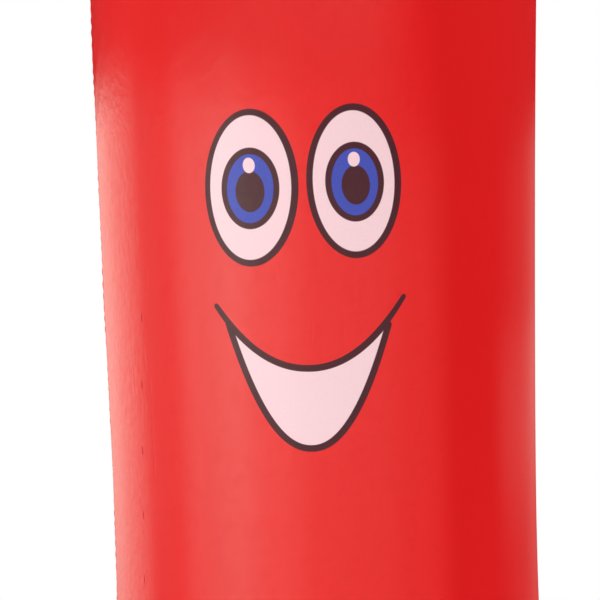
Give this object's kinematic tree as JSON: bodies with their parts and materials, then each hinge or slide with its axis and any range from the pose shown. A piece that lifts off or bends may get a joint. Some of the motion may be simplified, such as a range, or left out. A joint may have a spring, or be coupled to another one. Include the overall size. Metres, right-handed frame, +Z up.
{
  "type": "inflatable air dancer",
  "caption": "Upright inflated nylon tube with a printed smiling face, raised sleeves and fringed ends, standing on its open base hem.",
  "frame": {"origin": "on the floor, in the middle of the box around the whole dancer, within a few millimetres of the centre of the base hem", "axes": "+Z up along the tube; the printed face looks towards -Y; the tube's side seam is on -X and the sleeves leave towards -X and +X"},
  "size_m": [1.4542, 0.4536, 1.9646],
  "materials": {
    "tube_nylon": "red coated nylon, satin gloss, printed face on the front",
    "crown_nylon": "red coated nylon, satin gloss",
    "sleeve_nylon": "red coated nylon, satin gloss",
    "fringe_nylon": "red coated nylon, cut ribbons"
  },
  "bodies": {
    "root": {"body_tube": "tube_nylon", "crown_panel": "crown_nylon", "left_sleeve": "sleeve_nylon", "right_sleeve": "sleeve_nylon", "crown_streamers": "fringe_nylon", "left_cuff_streamers": "fringe_nylon", "right_cuff_streamers": "fringe_nylon"}
  },
  "joints": []
}
